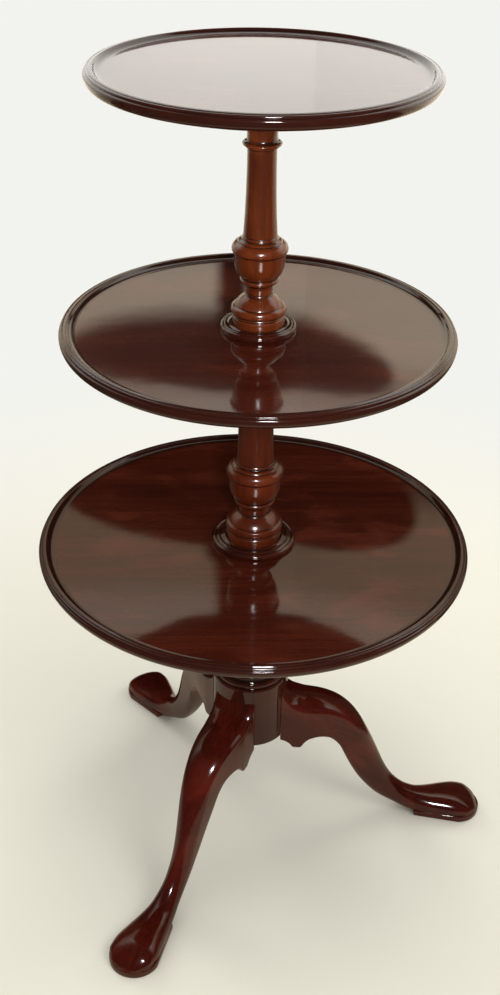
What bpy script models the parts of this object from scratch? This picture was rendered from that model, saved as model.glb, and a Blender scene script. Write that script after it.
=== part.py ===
"""A three-tier dumbwaiter table in mahogany: dished round tiers that turn on a stacked, turned stem.

Metres, +Z up. The floor is z = 0 and the origin is the middle of the footprint, which lies a little
to the right of the stem, because one of the three legs points along +X. The pedestal's head and the
heads of both columns are spindles: each carries a turned bearer with its tier, then the next column.
"""

import math

import bmesh
import bpy
from mathutils import Vector

# Tiers
TIER_PITCH = 0.3145
TOP_TIER_RADIUS = 0.2035
MIDDLE_TIER_RADIUS = 0.248
BOTTOM_TIER_RADIUS = 0.292
BOARD_THICKNESS = 0.018
DISH_DEPTH = 0.006
RIM_WIDTH = 0.020

# Fits
GLUE_GAP = 0.0003
RUNNING_GAP = 0.0005
OVERRUN = 0.004

# Bearers, measured down from a tier's lip
BEARING_DROP = 0.0693
BEARER_FLARE = 0.0255
BEARER_EDGE = 0.006

# Stem heads
HEAD_HEIGHT = 0.0237
HEAD_SWELL = 0.0052
PEDESTAL_HEAD_RADIUS = 0.026
LOWER_HEAD_RADIUS = 0.0223
UPPER_HEAD_RADIUS = 0.0182
PEDESTAL_SPINDLE_RADIUS = 0.019
LOWER_SPINDLE_RADIUS = 0.0155
UPPER_SPINDLE_RADIUS = 0.012
LOWER_TENON_RADIUS = 0.013
UPPER_TENON_RADIUS = 0.011
TENON_LENGTH = 0.036

# Columns
COLUMN_SWELL = 0.018
LOWER_NECK_RADIUS = 0.0207
UPPER_NECK_RADIUS = 0.0166
VASE_FOOT_HEIGHT = 0.065
LOWER_BOWL_HEIGHT = 0.0605
UPPER_BOWL_HEIGHT = 0.0565
LOWER_SHAFT_TOP_RADIUS = 0.0225
UPPER_SHAFT_TOP_RADIUS = 0.0176

# Collars round the column feet
COLLAR_HEIGHT = 0.0092
LOWER_COLLAR_WIDTH = 0.0183
UPPER_COLLAR_WIDTH = 0.0133
COLLAR_SLACK = 0.001

# Pedestal
BLOCK_RADIUS = 0.055
BLOCK_BOTTOM = 0.178
BLOCK_HEIGHT = 0.103
RING_HEIGHT = 0.025
STEM_HEIGHT = 0.079
STEM_FOOT_RADIUS = 0.0305
STEM_TOP_RADIUS = 0.0285
STEM_SWEEP_HEIGHT = 0.036

# Legs
FOOT_REACH = 0.364
LEG_SEAT_HEIGHT = 0.080
LEG_HALF_WIDTH = 0.032
SLAB_THICKNESS = 0.010
SLAB_HEEL_SHARE = 0.675
SLAB_HEEL_HALF_WIDTH = 0.020
SLAB_TOE_RADIUS = 0.036
TONGUE_DEPTH = 0.014
TONGUE_ROOT_HALF_WIDTH = 0.008
TONGUE_TIP_HALF_WIDTH = 0.0105
TONGUE_HEIGHT = 0.060

# Iron plate and screws
PLATE_THICKNESS = 0.003
PLATE_END_GAP = 0.001
PLATE_ARM_HALF_WIDTH = 0.008
PLATE_CROTCH_RADIUS = 0.0135
SCREW_HEAD_RADIUS = 0.0038
SCREW_HEAD_HEIGHT = 0.0022
SCREW_SHANK_RADIUS = 0.0019
SCREW_TIP_HEIGHT = 0.003
PLATE_SCREW_LENGTH = 0.022
BEARER_SCREW_LENGTH = 0.0155
BEARER_SCREW_COUNT = 3
PLATE_INNER_SCREW_REACH = 0.018

# Facets round each kind of turning
TIER_SEGMENTS = 40
COLUMN_SEGMENTS = 20
TURNED_SEGMENTS = 24
SCREW_SEGMENTS = 8
SMOOTH_ANGLE = math.radians(40)

LEG_AZIMUTHS = {"right": 0.0, "back": math.radians(120), "front": math.radians(240)}

# Rim section, in from the edge and down from the lip: cove, lip, groove, bead, recess, torus, under-edge
RIM_SHARES = (
    (1.00, 0.333), (0.85, 0.319), (0.72, 0.272), (0.62, 0.183), (0.56, 0.083), (0.52, 0.022),
    (0.47, 0.000), (0.36, 0.014), (0.295, 0.044), (0.26, 0.083), (0.23, 0.075), (0.20, 0.061),
    (0.145, 0.083), (0.105, 0.139), (0.10, 0.200), (0.115, 0.239), (0.075, 0.272), (0.025, 0.317),
    (0.00, 0.406), (0.01, 0.522), (0.04, 0.667), (0.105, 0.811), (0.22, 0.933), (0.38, 1.000),
)

# Column outlines, out from the neck and up: drum, fillet, torus, shoulder, neck, bead, then bowl and torus
VASE_FOOT_SHARES = (
    (0.911, 0.000), (0.911, 0.262), (0.856, 0.288), (0.922, 0.310), (0.889, 0.334), (0.990, 0.366),
    (1.006, 0.398), (0.960, 0.452), (0.867, 0.480), (0.739, 0.495), (0.700, 0.516), (0.556, 0.577),
    (0.378, 0.629), (0.189, 0.669), (0.045, 0.705), (0.000, 0.746), (0.000, 0.838), (0.050, 0.894),
    (0.180, 0.934), (0.335, 0.955), (0.414, 1.000),
)
BOWL_SHARES = (
    (0.339, 0.048), (0.461, 0.101), (0.639, 0.181), (0.744, 0.267), (0.806, 0.363), (0.822, 0.487),
    (0.850, 0.602), (0.878, 0.632), (0.978, 0.657), (1.000, 0.706), (0.944, 0.770), (0.833, 0.819),
    (0.689, 0.848), (0.611, 0.858), (0.544, 0.890), (0.322, 0.929), (0.289, 0.968), (0.233, 1.000),
)

# Head outline, out from its neck and up: fillet, astragal, fillet, neck, bearing shoulder
HEAD_SHARES = (
    (0.35, 0.084), (0.35, 0.143), (0.81, 0.160), (1.00, 0.232), (0.81, 0.308), (0.38, 0.338),
    (0.05, 0.464), (0.00, 0.688), (0.15, 1.000),
)

# Collar section, out from the bore and up
COLLAR_SHARES = (
    (0.95, 0.00), (1.00, 0.28), (1.00, 0.50), (0.93, 0.70), (0.81, 0.78), (0.72, 0.68),
    (0.64, 0.81), (0.55, 0.87), (0.38, 0.86), (0.20, 0.97), (0.04, 1.00), (0.00, 0.94),
)

# Rings above the block, as shares of its radius and of the rings' height
RING_SHARES = (
    (0.972, 0.00), (0.916, 0.04), (0.936, 0.10), (0.943, 0.22), (0.925, 0.36), (0.884, 0.42),
    (0.855, 0.54), (0.848, 0.66), (0.860, 0.76), (0.840, 0.80), (0.848, 0.87), (0.826, 0.97),
    (0.764, 1.00),
)

# Sweep from the rings to the stem, as shares of the radius still to lose and of the sweep's height
STEM_SWEEP_SHARES = ((0.55, 0.12), (0.29, 0.33), (0.12, 0.62), (0.0, 1.0))

# Bearer's underside, from its foot to its edge: shares of the flare and of the height
BEARER_SHARES = ((0.05, 0.05), (0.10, 0.25), (0.22, 0.47), (0.44, 0.68), (0.74, 0.82), (1.00, 0.87))

# Leg stations: crown reach and height, underside reach and height, half width, side's top edge, corner
LEG_STATION_SHARES = (
    (0.000, 1.000, 0.000, 0.655, 1.000, 0.97, 0.05),
    (0.018, 0.973, 0.018, 0.647, 1.000, 0.90, 0.05),
    (0.047, 0.938, 0.043, 0.625, 1.000, 0.86, 0.05),
    (0.075, 0.924, 0.064, 0.597, 1.000, 0.83, 0.05),
    (0.100, 0.915, 0.094, 0.595, 1.000, 0.81, 0.05),
    (0.119, 0.908, 0.115, 0.630, 0.990, 0.78, 0.05),
    (0.147, 0.902, 0.142, 0.655, 0.970, 0.76, 0.05),
    (0.204, 0.886, 0.182, 0.664, 0.920, 0.77, 0.06),
    (0.273, 0.852, 0.223, 0.655, 0.840, 0.78, 0.06),
    (0.336, 0.792, 0.259, 0.620, 0.757, 0.78, 0.07),
    (0.380, 0.722, 0.288, 0.569, 0.699, 0.76, 0.10),
    (0.414, 0.645, 0.306, 0.516, 0.659, 0.72, 0.16),
    (0.448, 0.556, 0.326, 0.453, 0.601, 0.67, 0.26),
    (0.477, 0.471, 0.349, 0.386, 0.548, 0.62, 0.40),
    (0.511, 0.370, 0.382, 0.303, 0.499, 0.57, 0.58),
    (0.548, 0.285, 0.424, 0.223, 0.476, 0.54, 0.78),
    (0.596, 0.215, 0.482, 0.141, 0.476, 0.52, 0.95),
    (0.649, 0.168, 0.553, 0.083, 0.521, 0.50, 1.00),
    (0.705, 0.142, 0.643, 0.029, 0.623, 0.48, 0.85),
    (0.768, 0.134, 0.749, 0.019, 0.812, 0.42, 0.50),
    (0.824, 0.136, 0.818, 0.019, 0.950, 0.38, 0.30),
    (0.878, 0.133, 0.878, 0.019, 1.050, 0.36, 0.30),
    (0.925, 0.117, 0.925, 0.019, 1.025, 0.40, 0.30),
    (0.961, 0.089, 0.961, 0.019, 0.810, 0.45, 0.30),
    (0.981, 0.063, 0.981, 0.019, 0.600, 0.50, 0.30),
    (0.991, 0.042, 0.991, 0.019, 0.390, 0.50, 0.30),
)
LEG_CROWN_POINTS = 5
LEG_CORNER_POINTS = 3
SLAB_ARC_POINTS = 12

# Places worked out from the sizes above, from the floor up
BLOCK_TOP = BLOCK_BOTTOM + BLOCK_HEIGHT
LEG_TOP = BLOCK_BOTTOM + LEG_SEAT_HEIGHT
SWEEP_START = BLOCK_TOP + RING_HEIGHT
STEM_END = SWEEP_START + STEM_SWEEP_HEIGHT + STEM_HEIGHT
BOTTOM_LIP = STEM_END + HEAD_HEIGHT + BEARING_DROP
LIP_HEIGHTS = {
    "bottom": BOTTOM_LIP,
    "middle": BOTTOM_LIP + TIER_PITCH,
    "top": BOTTOM_LIP + 2 * TIER_PITCH,
}
AXIS_OFFSET = (FOOT_REACH - BOTTOM_TIER_RADIUS) / 2
SEAT_RADIUS = math.sqrt(BLOCK_RADIUS**2 - LEG_HALF_WIDTH**2)
LEG_START = SEAT_RADIUS + GLUE_GAP
TONGUE_MIDDLE_REACH = SEAT_RADIUS - TONGUE_DEPTH / 2
PLATE_ARM_REACH = SEAT_RADIUS - PLATE_END_GAP


def material(name, colour, roughness, metallic=0.0):
    made = bpy.data.materials.new(name)
    made.use_nodes = True
    shader = made.node_tree.nodes["Principled BSDF"]
    shader.inputs["Base Color"].default_value = (*colour, 1.0)
    shader.inputs["Roughness"].default_value = roughness
    shader.inputs["Metallic"].default_value = metallic
    made.diffuse_color = (*colour, 1.0)
    return made


def finished(name, shape, finish, parent, place=(0.0, 0.0, 0.0), turn=0.0):
    """An object made from a bmesh, with smooth shading and one material, under its parent."""
    bmesh.ops.recalc_face_normals(shape, faces=shape.faces)
    mesh = bpy.data.meshes.new(name)
    shape.to_mesh(mesh)
    shape.free()
    mesh.shade_smooth()
    mesh.set_sharp_from_angle(angle=SMOOTH_ANGLE)
    if finish is not None:
        mesh.materials.append(finish)
    made = bpy.data.objects.new(name, mesh)
    bpy.context.scene.collection.objects.link(made)
    made.parent = parent
    made.location = place
    made.rotation_euler.z = turn
    return made


def empty(name, parent=None, place=(0.0, 0.0, 0.0), turn=0.0):
    made = bpy.data.objects.new(name, None)
    bpy.context.scene.collection.objects.link(made)
    made.parent = parent
    made.location = place
    made.rotation_euler.z = turn
    return made


def turned(outline, segments, ring=False):
    """A bmesh spun from (radius, height) points; a ring's outline closes on itself off the axis."""
    shape = bmesh.new()
    corners = [shape.verts.new((radius, 0.0, height)) for radius, height in outline]
    edges = [shape.edges.new(pair) for pair in zip(corners, corners[1:])]
    if ring:
        edges.append(shape.edges.new((corners[-1], corners[0])))
    bmesh.ops.spin(
        shape,
        geom=corners + edges,
        cent=(0.0, 0.0, 0.0),
        axis=(0.0, 0.0, 1.0),
        angle=math.tau,
        steps=segments,
    )
    bmesh.ops.remove_doubles(shape, verts=shape.verts, dist=GLUE_GAP / 10)
    return shape


def extruded(outline, bottom, top):
    """A prism from a closed outline of (x, y) points."""
    shape = bmesh.new()
    face = shape.faces.new([shape.verts.new((x, y, bottom)) for x, y in outline])
    raised = bmesh.ops.extrude_face_region(shape, geom=[face])
    corners = [item for item in raised["geom"] if isinstance(item, bmesh.types.BMVert)]
    bmesh.ops.translate(shape, verts=corners, vec=Vector((0.0, 0.0, top - bottom)))
    return shape


def combine(target, tool, operation):
    """A live Boolean; the tool stays in the file as a wire guide."""
    tool.hide_render = True
    tool.display_type = "WIRE"
    step = target.modifiers.new(tool.name, "BOOLEAN")
    step.operation = operation
    step.solver = "EXACT"
    step.object = tool


def shoulder_height(tier):
    return LIP_HEIGHTS[tier] - BEARING_DROP


def floor_height(tier):
    return LIP_HEIGHTS[tier] - DISH_DEPTH


def column_foot_height(tier):
    return floor_height(tier) + RUNNING_GAP + GLUE_GAP


def head_outline(neck_radius, tier):
    start = shoulder_height(tier) - HEAD_HEIGHT
    return [(neck_radius + out * HEAD_SWELL, start + up * HEAD_HEIGHT) for out, up in HEAD_SHARES]


def spindle_outline(radius, tenon_radius, tier):
    """From the bearing shoulder through the bearer and the board, then the tenon of the next joint."""
    seat = column_foot_height(tier) - GLUE_GAP
    end = seat + TENON_LENGTH
    return [
        (radius, shoulder_height(tier)),
        (radius, seat),
        (tenon_radius, seat),
        (tenon_radius, end - tenon_radius / 10),
        (tenon_radius * 0.9, end),
        (0.0, end),
    ]


def column_outline(neck_radius, bowl_height, shaft_top_radius, socket_radius, tier):
    """Blind socket, foot, vase and shaft of a column that stands on the named tier's spindle."""
    foot = column_foot_height(tier)
    socket_end = foot + TENON_LENGTH + GLUE_GAP
    vase_middle = foot + VASE_FOOT_HEIGHT
    outline = [
        (0.0, socket_end),
        (socket_radius, socket_end),
        (socket_radius, foot),
    ]
    outline += [
        (neck_radius + out * COLUMN_SWELL, foot + up * VASE_FOOT_HEIGHT) for out, up in VASE_FOOT_SHARES
    ]
    outline += [
        (neck_radius + out * COLUMN_SWELL, vase_middle + up * bowl_height) for out, up in BOWL_SHARES
    ]
    head_start = shoulder_height(tier) + TIER_PITCH - HEAD_HEIGHT
    outline.append((shaft_top_radius, head_start))
    return outline


def make_lower_column(axis, wood):
    outline = column_outline(
        LOWER_NECK_RADIUS,
        LOWER_BOWL_HEIGHT,
        LOWER_SHAFT_TOP_RADIUS,
        LOWER_TENON_RADIUS + GLUE_GAP,
        "bottom",
    )
    outline += head_outline(LOWER_HEAD_RADIUS, "middle")
    outline += spindle_outline(LOWER_SPINDLE_RADIUS, UPPER_TENON_RADIUS, "middle")
    return finished("lower_column", turned(outline, COLUMN_SEGMENTS), wood, axis)


def make_upper_column(axis, wood):
    outline = column_outline(
        UPPER_NECK_RADIUS,
        UPPER_BOWL_HEIGHT,
        UPPER_SHAFT_TOP_RADIUS,
        UPPER_TENON_RADIUS + GLUE_GAP,
        "middle",
    )
    outline += head_outline(UPPER_HEAD_RADIUS, "top")
    pin_end = LIP_HEIGHTS["top"] - BOARD_THICKNESS - 2 * GLUE_GAP
    outline += [
        (UPPER_SPINDLE_RADIUS, shoulder_height("top")),
        (UPPER_SPINDLE_RADIUS, pin_end - UPPER_SPINDLE_RADIUS / 10),
        (UPPER_SPINDLE_RADIUS * 0.9, pin_end),
        (0.0, pin_end),
    ]
    return finished("upper_column", turned(outline, COLUMN_SEGMENTS), wood, axis)


def tier_outline(radius, tier):
    """Rim section from the dish floor over the lip to the underside, then the middle."""
    lip = LIP_HEIGHTS[tier]
    return [
        (radius - inset * RIM_WIDTH, lip - down * BOARD_THICKNESS) for inset, down in RIM_SHARES
    ]


def make_tier(tier, radius, spindle_radius, carrier, wood):
    """The top board is whole; the others have a bearing hole for the spindle."""
    outline = tier_outline(radius, tier)
    underside = LIP_HEIGHTS[tier] - BOARD_THICKNESS
    if spindle_radius is None:
        outline = [(0.0, floor_height(tier)), *outline, (0.0, underside)]
        shape = turned(outline, TIER_SEGMENTS)
    else:
        bore = spindle_radius + RUNNING_GAP
        outline = [(bore, floor_height(tier)), *outline, (bore, underside)]
        shape = turned(outline, TIER_SEGMENTS, ring=True)
    return finished(f"{tier}_tier", shape, wood, carrier)


def make_bearer(tier, head_radius, spindle_radius, carrier, wood):
    """A turned bearer from the bearing shoulder up to the board's underside."""
    bottom = shoulder_height(tier) + GLUE_GAP
    top = LIP_HEIGHTS[tier] - BOARD_THICKNESS - GLUE_GAP
    height = top - bottom
    foot_radius = head_radius + HEAD_SHARES[-1][0] * HEAD_SWELL
    bore = spindle_radius + RUNNING_GAP
    outline = [(bore, bottom), (foot_radius, bottom)]
    outline += [(foot_radius + out * BEARER_FLARE, bottom + up * height) for out, up in BEARER_SHARES]
    outline += [(foot_radius + BEARER_FLARE, top), (bore, top)]
    return finished(f"{tier}_bearer", turned(outline, TURNED_SEGMENTS, ring=True), wood, carrier)


def make_collar(tier, neck_radius, width, carrier, wood):
    """A moulded ring on the dish floor, clear of the column foot that it goes round."""
    foot_radius = neck_radius + VASE_FOOT_SHARES[0][0] * COLUMN_SWELL
    bore = foot_radius + COLLAR_SLACK
    base = floor_height(tier) + GLUE_GAP
    outline = [(bore, base)]
    outline += [(bore + out * width, base + up * COLLAR_HEIGHT) for out, up in COLLAR_SHARES]
    return finished(f"{tier}_collar", turned(outline, TURNED_SEGMENTS, ring=True), wood, carrier)


def screw_shape(length):
    """A countersunk screw whose head is at z = 0 and whose point is up."""
    outline = [
        (0.0, 0.0),
        (SCREW_HEAD_RADIUS, 0.0),
        (SCREW_SHANK_RADIUS, SCREW_HEAD_HEIGHT),
        (SCREW_SHANK_RADIUS, length - SCREW_TIP_HEIGHT),
        (0.0, length),
    ]
    return turned(outline, SCREW_SEGMENTS)


def screw_hole(name, length, parent, place):
    """The room that a screw takes, with a glue gap all round and a way in from below."""
    outline = [
        (0.0, -OVERRUN),
        (SCREW_HEAD_RADIUS + GLUE_GAP, -OVERRUN),
        (SCREW_HEAD_RADIUS + GLUE_GAP, 0.0),
        (SCREW_SHANK_RADIUS + GLUE_GAP, SCREW_HEAD_HEIGHT),
        (SCREW_SHANK_RADIUS + GLUE_GAP, length + GLUE_GAP),
        (0.0, length + GLUE_GAP),
    ]
    return finished(name, turned(outline, SCREW_SEGMENTS), None, parent, place)


def screw_bearer(tier, board, bearer, head_radius, carrier, iron):
    """Screws up through the bearer's flange into the board, in holes cut from both."""
    foot_radius = head_radius + HEAD_SHARES[-1][0] * HEAD_SWELL
    reach = foot_radius + BEARER_FLARE - 2 * SCREW_HEAD_RADIUS
    head_height = LIP_HEIGHTS[tier] - BOARD_THICKNESS - GLUE_GAP - BEARER_EDGE
    for number in range(BEARER_SCREW_COUNT):
        turn = math.tau * number / BEARER_SCREW_COUNT
        place = (reach * math.cos(turn), reach * math.sin(turn), head_height)
        name = f"{tier}_bearer_screw_{number + 1}"
        finished(name, screw_shape(BEARER_SCREW_LENGTH), iron, carrier, place)
        hole = screw_hole(f"{name}_hole", BEARER_SCREW_LENGTH, carrier, place)
        combine(bearer, hole, "DIFFERENCE")
        combine(board, hole, "DIFFERENCE")


def pedestal_outline():
    """Block, rings, stem and head of the pedestal, then its spindle."""
    edge = BLOCK_RADIUS * (1 - RING_SHARES[0][0])
    outline = [
        (0.0, BLOCK_BOTTOM),
        (BLOCK_RADIUS - edge, BLOCK_BOTTOM),
        (BLOCK_RADIUS, BLOCK_BOTTOM + edge),
        (BLOCK_RADIUS, BLOCK_TOP - edge),
    ]
    outline += [(BLOCK_RADIUS * out, BLOCK_TOP + up * RING_HEIGHT) for out, up in RING_SHARES]
    to_lose = BLOCK_RADIUS * RING_SHARES[-1][0] - STEM_FOOT_RADIUS
    outline += [
        (STEM_FOOT_RADIUS + left * to_lose, SWEEP_START + up * STEM_SWEEP_HEIGHT)
        for left, up in STEM_SWEEP_SHARES
    ]
    outline.append((STEM_TOP_RADIUS, STEM_END))
    outline += head_outline(PEDESTAL_HEAD_RADIUS, "bottom")
    outline += spindle_outline(PEDESTAL_SPINDLE_RADIUS, LOWER_TENON_RADIUS, "bottom")
    return outline


def box_outline(start, end, half_width):
    return [(start, -half_width), (end, -half_width), (end, half_width), (start, half_width)]


def tongue_outline(gap):
    """A dovetail across the seat, wider inside; the gap widens it to the socket in the block."""
    inner = SEAT_RADIUS - TONGUE_DEPTH - gap
    outer = SEAT_RADIUS + OVERRUN
    lean = (TONGUE_TIP_HALF_WIDTH - TONGUE_ROOT_HALF_WIDTH) / TONGUE_DEPTH
    inner_half = TONGUE_TIP_HALF_WIDTH + gap
    outer_half = TONGUE_ROOT_HALF_WIDTH + gap - lean * OVERRUN
    return [(inner, -inner_half), (outer, -outer_half), (outer, outer_half), (inner, inner_half)]


def leg_ring(station):
    """One section across the leg, as (reach, side, height) points, crown first on the left side."""
    crown_out, crown_up, under_out, under_up, half, edge, corner = station
    length = FOOT_REACH - LEG_START
    crown = Vector((LEG_START + crown_out * length, 0.0, crown_up * LEG_TOP))
    under = Vector((LEG_START + under_out * length, 0.0, under_up * LEG_TOP))
    half_width = half * LEG_HALF_WIDTH
    side_top = under.lerp(crown, edge)
    points = []
    for index in range(LEG_CROWN_POINTS + 1):
        angle = math.pi / 2 * index / LEG_CROWN_POINTS
        middle = side_top.lerp(crown, math.cos(angle))
        points.append((half_width * math.sin(angle), middle))
    for index in range(LEG_CORNER_POINTS + 1):
        angle = math.pi / 2 * index / LEG_CORNER_POINTS
        rise = corner * edge * (1 - math.sin(angle))
        inset = corner * half_width * (1 - math.cos(angle))
        points.append((half_width - inset, under.lerp(crown, rise)))
    right = [Vector((at.x, side, at.z)) for side, at in points]
    left = [Vector((at.x, -side, at.z)) for side, at in reversed(points[1:])]
    return right + left


def leg_shape():
    """The leg lofted through its stations, closed by a face at the block and one at the toe."""
    shape = bmesh.new()
    rings = []
    for station in LEG_STATION_SHARES:
        rings.append([shape.verts.new(point) for point in leg_ring(station)])
    count = len(rings[0])
    for near, far in zip(rings, rings[1:]):
        for index in range(count):
            after = (index + 1) % count
            shape.faces.new((near[index], near[after], far[after], far[index]))
    shape.faces.new(rings[0])
    shape.faces.new(rings[-1])
    return shape


def slab_outline():
    """The thin platform under the pad: square heel, widening sides and a round toe."""
    centre = FOOT_REACH - SLAB_TOE_RADIUS
    heel = LEG_START + SLAB_HEEL_SHARE * (FOOT_REACH - LEG_START)
    outline = [(heel, SLAB_HEEL_HALF_WIDTH), (heel, -SLAB_HEEL_HALF_WIDTH)]
    for index in range(SLAB_ARC_POINTS + 1):
        angle = math.pi * (index / SLAB_ARC_POINTS - 1 / 2)
        outline.append((centre + SLAB_TOE_RADIUS * math.cos(angle), SLAB_TOE_RADIUS * math.sin(angle)))
    return outline


def make_leg(side, turn, axis, wood):
    leg = finished(f"leg_{side}", leg_shape(), wood, axis, turn=turn)
    slab = finished(f"slab_{side}", extruded(slab_outline(), 0.0, SLAB_THICKNESS), None, leg)
    tongue_top = BLOCK_BOTTOM + TONGUE_HEIGHT
    tongue_shape = extruded(tongue_outline(0.0), BLOCK_BOTTOM, tongue_top)
    tongue = finished(f"tongue_{side}", tongue_shape, None, leg)
    combine(leg, slab, "UNION")
    combine(leg, tongue, "UNION")
    return leg


def seat_leg(side, turn, pedestal, axis):
    """The flat and the dovetail socket that one leg takes in the block."""
    bottom = BLOCK_BOTTOM - OVERRUN
    flat = box_outline(SEAT_RADIUS, BLOCK_RADIUS + OVERRUN, LEG_HALF_WIDTH + OVERRUN)
    seat_shape = extruded(flat, bottom, LEG_TOP + GLUE_GAP)
    seat = finished(f"seat_{side}", seat_shape, None, axis, turn=turn)
    socket_shape = extruded(tongue_outline(GLUE_GAP), bottom, BLOCK_BOTTOM + TONGUE_HEIGHT + GLUE_GAP)
    socket = finished(f"socket_{side}", socket_shape, None, axis, turn=turn)
    combine(pedestal, seat, "DIFFERENCE")
    combine(pedestal, socket, "DIFFERENCE")


def plate_outline():
    """Three arms with rounded ends, one under each tongue, and a hollow between each two."""
    outline = []
    end_centre = PLATE_ARM_REACH - PLATE_ARM_HALF_WIDTH
    for turn in LEG_AZIMUTHS.values():
        arm = [(PLATE_CROTCH_RADIUS, -PLATE_ARM_HALF_WIDTH)]
        for index in range(SCREW_SEGMENTS // 2 + 1):
            angle = math.pi * (index / (SCREW_SEGMENTS // 2) - 1 / 2)
            reach = end_centre + PLATE_ARM_HALF_WIDTH * math.cos(angle)
            arm.append((reach, PLATE_ARM_HALF_WIDTH * math.sin(angle)))
        arm.append((PLATE_CROTCH_RADIUS, PLATE_ARM_HALF_WIDTH))
        crotch = math.pi / len(LEG_AZIMUTHS)
        arm.append((PLATE_CROTCH_RADIUS * math.cos(crotch), PLATE_CROTCH_RADIUS * math.sin(crotch)))
        outline += [
            (x * math.cos(turn) - y * math.sin(turn), x * math.sin(turn) + y * math.cos(turn))
            for x, y in arm
        ]
    return outline


def make_plate(axis, pedestal, legs, iron):
    """The iron plate under the block, with a screw into the block and one into each tongue."""
    top = BLOCK_BOTTOM - GLUE_GAP
    bottom = top - PLATE_THICKNESS
    plate = finished("spider_plate", extruded(plate_outline(), bottom, top), iron, axis)
    number = 0
    for side, turn in LEG_AZIMUTHS.items():
        for reach, takers in ((PLATE_INNER_SCREW_REACH, [pedestal]), (TONGUE_MIDDLE_REACH, [legs[side]])):
            number += 1
            place = (reach * math.cos(turn), reach * math.sin(turn), bottom)
            name = f"spider_screw_{number}"
            finished(name, screw_shape(PLATE_SCREW_LENGTH), iron, axis, place)
            hole = screw_hole(f"{name}_hole", PLATE_SCREW_LENGTH, axis, place)
            for taker in [plate, *takers]:
                combine(taker, hole, "DIFFERENCE")
    return plate


def build():
    for leftover in list(bpy.data.objects):
        bpy.data.objects.remove(leftover)
    wood = {
        "tiers": material("tier_mahogany", (0.085, 0.018, 0.008), 0.12),
        "columns": material("column_mahogany", (0.110, 0.022, 0.009), 0.16),
        "legs": material("leg_mahogany", (0.060, 0.010, 0.006), 0.14),
        "pedestal": material("pedestal_mahogany", (0.055, 0.012, 0.008), 0.16),
        "bearers": material("bearer_mahogany", (0.095, 0.020, 0.009), 0.20),
        "collars": material("collar_mahogany", (0.070, 0.015, 0.008), 0.16),
    }
    plate_iron = material("plate_iron", (0.045, 0.042, 0.040), 0.55, 1.0)
    screw_iron = material("screw_iron", (0.180, 0.170, 0.155), 0.40, 1.0)

    axis = empty("stem_axis", place=(-AXIS_OFFSET, 0.0, 0.0))
    pedestal = finished("pedestal", turned(pedestal_outline(), TURNED_SEGMENTS), wood["pedestal"], axis)
    legs = {}
    for side, turn in LEG_AZIMUTHS.items():
        legs[side] = make_leg(side, turn, axis, wood["legs"])
        seat_leg(side, turn, pedestal, axis)
    make_plate(axis, pedestal, legs, plate_iron)
    make_lower_column(axis, wood["columns"])
    make_upper_column(axis, wood["columns"])

    tiers = (
        ("bottom", BOTTOM_TIER_RADIUS, PEDESTAL_HEAD_RADIUS, PEDESTAL_SPINDLE_RADIUS),
        ("middle", MIDDLE_TIER_RADIUS, LOWER_HEAD_RADIUS, LOWER_SPINDLE_RADIUS),
        ("top", TOP_TIER_RADIUS, UPPER_HEAD_RADIUS, UPPER_SPINDLE_RADIUS),
    )
    for tier, radius, head_radius, spindle_radius in tiers:
        carrier = empty(f"{tier}_turning", axis)
        hole_radius = None if tier == "top" else spindle_radius
        board = make_tier(tier, radius, hole_radius, carrier, wood["tiers"])
        bearer = make_bearer(tier, head_radius, spindle_radius, carrier, wood["bearers"])
        screw_bearer(tier, board, bearer, head_radius, carrier, screw_iron)
        if tier == "bottom":
            make_collar(tier, LOWER_NECK_RADIUS, LOWER_COLLAR_WIDTH, carrier, wood["collars"])
        if tier == "middle":
            make_collar(tier, UPPER_NECK_RADIUS, UPPER_COLLAR_WIDTH, carrier, wood["collars"])


build()
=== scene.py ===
"""A three-tier dumbwaiter table in French-polished mahogany, made round the frame of its solids.

Every piece repeats the named sizes of the solid that it stands for, with more facets and smoother
outlines, and rides on the same body. Metres, +Z up, the floor at z = 0, the stem's axis at -AXIS_OFFSET.
"""

import math

import bmesh
import bpy
import numpy as np
from mathutils import Matrix, Vector


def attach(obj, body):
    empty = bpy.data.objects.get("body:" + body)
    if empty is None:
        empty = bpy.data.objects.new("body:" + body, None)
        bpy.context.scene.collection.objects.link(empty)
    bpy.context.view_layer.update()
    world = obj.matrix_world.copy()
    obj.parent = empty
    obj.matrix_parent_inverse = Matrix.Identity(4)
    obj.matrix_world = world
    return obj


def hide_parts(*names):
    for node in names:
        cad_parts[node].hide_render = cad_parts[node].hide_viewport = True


# Tiers
TIER_PITCH = 0.3145
TOP_TIER_RADIUS = 0.2035
MIDDLE_TIER_RADIUS = 0.248
BOTTOM_TIER_RADIUS = 0.292
BOARD_THICKNESS = 0.018
DISH_DEPTH = 0.006
RIM_WIDTH = 0.020

# Fits: the gap of a glued joint, the gap of a bearing, and how far a cutter runs past a face
GLUE_GAP = 0.0003
RUNNING_GAP = 0.0005
OVERRUN = 0.004

# Bearers, measured down from a tier's lip
BEARING_DROP = 0.0693
BEARER_FLARE = 0.0255
BEARER_EDGE = 0.006

# Stem heads
HEAD_HEIGHT = 0.0237
HEAD_SWELL = 0.0052
PEDESTAL_HEAD_RADIUS = 0.026
LOWER_HEAD_RADIUS = 0.0223
UPPER_HEAD_RADIUS = 0.0182
PEDESTAL_SPINDLE_RADIUS = 0.019
LOWER_SPINDLE_RADIUS = 0.0155
UPPER_SPINDLE_RADIUS = 0.012
LOWER_TENON_RADIUS = 0.013
UPPER_TENON_RADIUS = 0.011
TENON_LENGTH = 0.036
TENON_CHAMFER_SHARE = 0.1

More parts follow.
